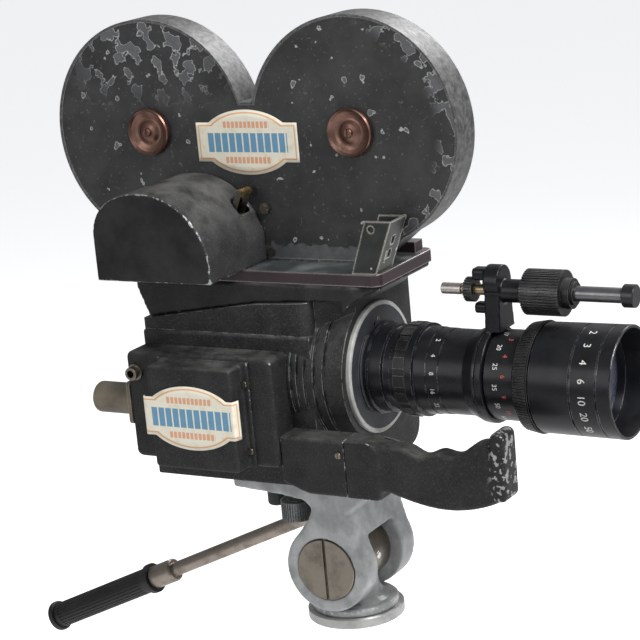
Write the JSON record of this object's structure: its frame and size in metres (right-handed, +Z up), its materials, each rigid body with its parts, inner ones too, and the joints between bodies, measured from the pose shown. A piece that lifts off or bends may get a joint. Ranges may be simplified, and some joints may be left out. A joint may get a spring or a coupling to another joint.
{
  "type": "cine camera",
  "caption": "Film cine camera with a two-lobed magazine, long lens, finger grip and motor housings, on a pan and tilt head with a pan bar.",
  "frame": {"origin": "centre of the head's base flange, on its underside, where the tripod screw enters", "axes": "+X the way the lens looks, +Z up, -Y the side with the finger grip and motor housings"},
  "size_m": [0.5648, 0.1667, 0.5281],
  "materials": {
    "base_flange": "bright turned aluminium",
    "turntable": "grey hammered casting",
    "tilt_drum": "dull nickelled steel",
    "drum_screw": "bright slotted screws",
    "tilt_yoke": "grey hammered casting",
    "tilt_pivot": "dull nickelled steel",
    "camera_screw": "black crinkle enamel, dusty and worn along its ledges and edges",
    "locating_screw": "black crinkle enamel, dusty and worn along its ledges and edges",
    "pan_bar_tube": "brownish worn metal tube",
    "pan_bar_grip": "black ribbed rubber",
    "body_housing": "black crinkle enamel, dusty and worn along its ledges and edges",
    "film_door": "black crinkle enamel, dusty and worn along its ledges and edges",
    "door_hinge_pin": "bright slotted screws",
    "door_latch": "dull nickelled steel",
    "front_ring": "cream enamel ring",
    "lens_board": "matt bluish grey anodised plate",
    "side_box": "black crinkle enamel, dusty and worn along its ledges and edges",
    "box_cover": "black crinkle enamel, dusty and worn along its ledges and edges",
    "box_socket": "dull nickelled steel",
    "rear_connector": "olive brown connector shell",
    "body_screws": "bright slotted screws",
    "mechanism_plate": "plain machined mechanism parts",
    "drive_motor": "plain machined mechanism parts",
    "motor_pinion": "worn brass",
    "drive_sprocket": "plain machined mechanism parts",
    "film_gate": "plain machined mechanism parts",
    "pressure_plate": "plain machined mechanism parts",
    "shutter_disc": "gloss black anodised lens barrel",
    "grip_bracket": "black crinkle enamel, dusty and worn along its ledges and edges",
    "finger_grip": "black crinkle enamel, dusty and worn along its ledges and edges",
    "saddle_neck": "black crinkle enamel, dusty and worn along its ledges and edges",
    "adapter_plate": "dark paint worn to bare metal on top and along the edge",
    "clamp_bracket": "dark paint worn to bare metal on top and along the edge",
    "magazine_case": "black paint chipped to grey metal, bare rounded rim",
    "magazine_lid_rear": "black paint chipped to grey metal, bare rounded rim",
    "magazine_lid_front": "black paint chipped to grey metal, bare rounded rim",
    "takeup_spindle": "worn brass",
    "feed_spindle": "worn brass",
    "takeup_knob": "brown copper-toned knob",
    "feed_knob": "brown copper-toned knob",
    "takeup_roll": "dark film wound on a core",
    "feed_roll": "dark film wound on a core",
    "magazine_nut": "worn brass",
    "magazine_badge": "cream paper badge with a thin orange border",
    "cover_badge": "cream paper badge with a thin orange border",
    "motor_cover": "black crinkle enamel, dusty and worn along its ledges and edges",
    "takeup_motor": "plain machined mechanism parts",
    "roller_bail": "dull nickelled steel",
    "tension_roller": "worn brass",
    "lens_barrel": "gloss black anodised lens barrel",
    "lens_lock_ring": "gloss black anodised lens barrel",
    "iris_ring": "gloss black anodised lens barrel",
    "zoom_ring": "gloss black anodised lens barrel",
    "focus_ring": "gloss black anodised lens barrel",
    "front_barrel": "gloss black anodised lens barrel",
    "front_glass": "coated lens glass",
    "drive_bracket": "gloss black anodised lens barrel",
    "drive_rod": "grey anodised rod",
    "drive_nut": "gloss black anodised lens barrel",
    "drive_drum": "gloss black anodised lens barrel"
  },
  "bodies": {
    "head_base": {"base_flange": "base_flange"},
    "pan_head": {"turntable": "turntable", "tilt_drum": "tilt_drum", "drum_screw": "drum_screw"},
    "camera": {"tilt_yoke": "tilt_yoke", "tilt_pivot": "tilt_pivot", "body_housing": "body_housing", "door_hinge_pin": "door_hinge_pin", "front_ring": "front_ring", "lens_board": "lens_board", "side_box": "side_box", "box_cover": "box_cover", "box_socket": "box_socket", "rear_connector": "rear_connector", "body_screws": "body_screws", "mechanism_plate": "mechanism_plate", "drive_motor": "drive_motor", "film_gate": "film_gate", "grip_bracket": "grip_bracket", "finger_grip": "finger_grip", "saddle_neck": "saddle_neck", "adapter_plate": "adapter_plate", "clamp_bracket": "clamp_bracket", "magazine_case": "magazine_case", "magazine_nut": "magazine_nut", "magazine_badge": "magazine_badge", "cover_badge": "cover_badge", "motor_cover": "motor_cover", "takeup_motor": "takeup_motor", "lens_barrel": "lens_barrel", "drive_bracket": "drive_bracket"},
    "camera_screw": {"camera_screw": "camera_screw"},
    "locating_screw": {"locating_screw": "locating_screw"},
    "pan_bar": {"pan_bar_tube": "pan_bar_tube", "pan_bar_grip": "pan_bar_grip"},
    "film_door": {"film_door": "film_door"},
    "door_latch": {"door_latch": "door_latch"},
    "motor_pinion": {"motor_pinion": "motor_pinion"},
    "sprocket": {"drive_sprocket": "drive_sprocket"},
    "shutter": {"shutter_disc": "shutter_disc"},
    "pressure_plate": {"pressure_plate": "pressure_plate"},
    "takeup": {"takeup_spindle": "takeup_spindle", "takeup_knob": "takeup_knob", "takeup_roll": "takeup_roll"},
    "feed": {"feed_spindle": "feed_spindle", "feed_knob": "feed_knob", "feed_roll": "feed_roll"},
    "rear_lid": {"magazine_lid_rear": "magazine_lid_rear"},
    "front_lid": {"magazine_lid_front": "magazine_lid_front"},
    "bail": {"roller_bail": "roller_bail"},
    "roller": {"tension_roller": "tension_roller"},
    "lock_ring": {"lens_lock_ring": "lens_lock_ring"},
    "iris": {"iris_ring": "iris_ring"},
    "zoom": {"zoom_ring": "zoom_ring"},
    "focus": {"focus_ring": "focus_ring", "front_barrel": "front_barrel", "front_glass": "front_glass"},
    "drive": {"drive_rod": "drive_rod", "drive_nut": "drive_nut", "drive_drum": "drive_drum"}
  },
  "joints": [
    {"name": "pan", "type": "hinge", "parent": "head_base", "child": "pan_head", "pos_m": [0, 0, 0.008], "axis": [0, 0, 1], "continuous": true},
    {"name": "tilt", "type": "hinge", "parent": "pan_head", "child": "camera", "pos_m": [0, 0, 0.049], "axis": [0, 1, 0], "range_deg": [-40, 55]},
    {"name": "camera_screw_turn", "type": "hinge", "parent": "camera", "child": "camera_screw", "pos_m": [-0.045, 0, 0.08], "axis": [0, 0, 1], "continuous": true},
    {"name": "locating_screw_turn", "type": "hinge", "parent": "camera", "child": "locating_screw", "pos_m": [-0.07, 0.012, 0.085], "axis": [0, 0, 1], "continuous": true},
    {"name": "pan_bar_twist", "type": "hinge", "parent": "camera", "child": "pan_bar", "pos_m": [-0.008, 0.022, 0.084], "axis": [-0.9135, 0, -0.4067], "range_deg": [0, 90]},
    {"name": "film_door_swing", "type": "hinge", "parent": "camera", "child": "film_door", "pos_m": [-0.1385, 0.0602, 0.18], "axis": [0, 0, 1], "range_deg": [0, 110]},
    {"name": "door_latch_turn", "type": "hinge", "parent": "film_door", "child": "door_latch", "pos_m": [0.016, 0.06, 0.19], "axis": [0, 1, 0], "range_deg": [0, 90]},
    {"name": "pinion_spin", "type": "hinge", "parent": "camera", "child": "motor_pinion", "pos_m": [-0.095, -0.01, 0.16], "axis": [0, 1, 0], "continuous": true},
    {"name": "sprocket_spin", "type": "hinge", "parent": "camera", "child": "sprocket", "pos_m": [-0.063, 0, 0.184], "axis": [0, 1, 0], "continuous": true},
    {"name": "shutter_spin", "type": "hinge", "parent": "camera", "child": "shutter", "pos_m": [0.02, 0.016, 0.1805], "axis": [1, 0, 0], "continuous": true},
    {"name": "pressure_plate_slide", "type": "slide", "parent": "camera", "child": "pressure_plate", "axis": [1, 0, 0], "range_m": [-0.003, 0], "stiffness_N_per_m": 600},
    {"name": "takeup_spin", "type": "hinge", "parent": "camera", "child": "takeup", "pos_m": [-0.135, 0, 0.38], "axis": [0, 1, 0], "continuous": true},
    {"name": "feed_spin", "type": "hinge", "parent": "camera", "child": "feed", "pos_m": [0.04, 0, 0.38], "axis": [0, 1, 0], "continuous": true},
    {"name": "rear_lid_turn", "type": "hinge", "parent": "camera", "child": "rear_lid", "pos_m": [-0.135, 0.012, 0.38], "axis": [0, 1, 0], "range_deg": [0, 20]},
    {"name": "front_lid_turn", "type": "hinge", "parent": "camera", "child": "front_lid", "pos_m": [0.04, 0.012, 0.38], "axis": [0, 1, 0], "range_deg": [0, 20]},
    {"name": "bail_swing", "type": "hinge", "parent": "camera", "child": "bail", "pos_m": [-0.058, -0.026, 0.318], "axis": [0, 1, 0], "range_deg": [0, 10]},
    {"name": "roller_spin", "type": "hinge", "parent": "bail", "child": "roller", "pos_m": [-0.049, -0.026, 0.337], "axis": [0, 1, 0], "continuous": true},
    {"name": "lock_ring_turn", "type": "hinge", "parent": "camera", "child": "lock_ring", "pos_m": [0.072, 0, 0.2005], "axis": [1, 0, 0], "range_deg": [0, 30]},
    {"name": "iris_turn", "type": "hinge", "parent": "camera", "child": "iris", "pos_m": [0.098, 0, 0.2005], "axis": [1, 0, 0], "range_deg": [0, 60]},
    {"name": "zoom_turn", "type": "hinge", "parent": "camera", "child": "zoom", "pos_m": [0.15, 0, 0.2005], "axis": [1, 0, 0], "range_deg": [0, 90]},
    {"name": "focus_turn", "type": "hinge", "parent": "camera", "child": "focus", "pos_m": [0.2, 0, 0.2005], "axis": [1, 0, 0], "range_deg": [0, 180]},
    {"name": "drive_turn", "type": "hinge", "parent": "camera", "child": "drive", "pos_m": [0.18, 0, 0.263], "axis": [1, 0, 0], "range_deg": [0, 360]}
  ],
  "couplings": [
    {"joint": "sprocket_spin", "follows": "pinion_spin", "ratio": -0.25},
    {"joint": "shutter_spin", "follows": "pinion_spin", "ratio": 0.5},
    {"joint": "drive_turn", "follows": "zoom_turn", "ratio": 4}
  ]
}
